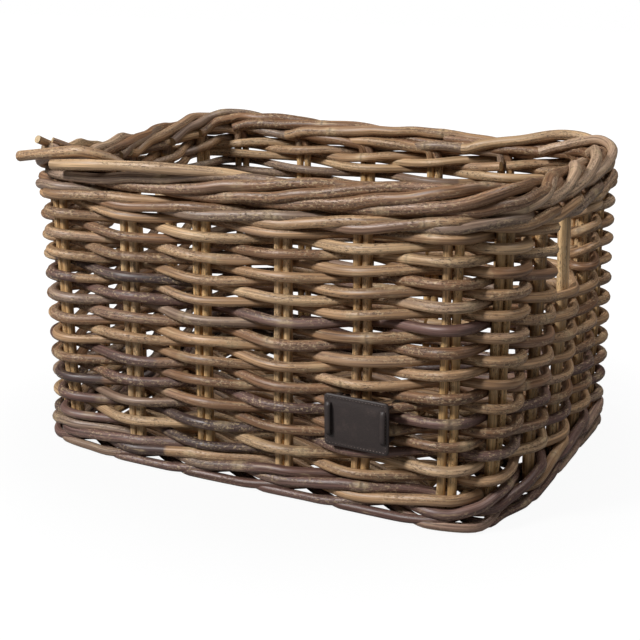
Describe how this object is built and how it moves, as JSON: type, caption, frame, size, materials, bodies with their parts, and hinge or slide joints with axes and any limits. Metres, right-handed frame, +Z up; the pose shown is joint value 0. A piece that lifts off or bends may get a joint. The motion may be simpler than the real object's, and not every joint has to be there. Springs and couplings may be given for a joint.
{
  "type": "bicycle basket",
  "caption": "Rectangular open rattan basket with doubled stakes, plain-woven walls, a hand hole in each short side, a rolled border, a raised base and a plain leather tag.",
  "frame": {"origin": "middle of the base, on the plane that the basket stands on", "axes": "+X along the long sides to the right seen from the front, -Y to the front with the tag, +Z up"},
  "size_m": [0.4538, 0.336, 0.2656],
  "materials": {
    "stake_rattan": "natural golden-brown rattan with bark flecks",
    "weaver_rattan": "grey-brown soaked rattan, streaked",
    "dark_rattan": "dark purple-brown rattan with bark",
    "leather": "dark brown, waxed, stitched edge"
  },
  "bodies": {
    "root": {"back_hole_weaver": "weaver_rattan", "base_edge_strand_back": "weaver_rattan", "base_edge_strand_front": "weaver_rattan", "base_end_stick_left": "stake_rattan", "base_end_stick_right": "stake_rattan", "base_stick_1": "stake_rattan", "base_stick_2": "stake_rattan", "base_stick_3": "stake_rattan", "base_stick_4": "stake_rattan", "base_stick_5": "stake_rattan", "base_strand": "weaver_rattan", "border_filler_rod": "stake_rattan", "bottom_wale_rod_1": "dark_rattan", "bottom_wale_rod_2": "dark_rattan", "bottom_wale_rod_3": "dark_rattan", "foot_ring": "dark_rattan", "front_hole_weaver": "weaver_rattan", "leather_tag": "leather", "stake_pair_01": "stake_rattan", "stake_pair_02": "stake_rattan", "stake_pair_03": "stake_rattan", "stake_pair_04": "stake_rattan", "stake_pair_05": "stake_rattan", "stake_pair_06": "stake_rattan", "stake_pair_07": "stake_rattan", "stake_pair_08": "stake_rattan", "stake_pair_09": "stake_rattan", "stake_pair_10": "stake_rattan", "stake_pair_11": "stake_rattan", "stake_pair_12": "stake_rattan", "stake_pair_13": "stake_rattan", "stake_pair_14": "stake_rattan", "stake_pair_15": "stake_rattan", "stake_pair_16": "stake_rattan", "stake_pair_17": "stake_rattan", "stake_pair_18": "stake_rattan", "stake_pair_19": "stake_rattan", "stake_pair_20": "stake_rattan", "stake_pair_21": "stake_rattan", "stake_pair_22": "stake_rattan", "tag_thong_left": "leather", "tag_thong_right": "leather", "top_wale_rod_1": "weaver_rattan", "top_wale_rod_2": "weaver_rattan", "top_wale_rod_3": "weaver_rattan", "weaver_row_01": "weaver_rattan", "weaver_row_02": "weaver_rattan", "weaver_row_03": "weaver_rattan", "weaver_row_04": "weaver_rattan", "weaver_row_05": "weaver_rattan", "weaver_row_06": "weaver_rattan", "weaver_row_07": "weaver_rattan", "weaver_row_08": "weaver_rattan", "weaver_row_09": "weaver_rattan", "weaver_row_10": "weaver_rattan", "weaver_row_11": "weaver_rattan", "weaver_row_12": "weaver_rattan", "weaver_row_13": "weaver_rattan", "weaver_row_14": "weaver_rattan", "weaver_row_15": "weaver_rattan"}
  },
  "joints": []
}
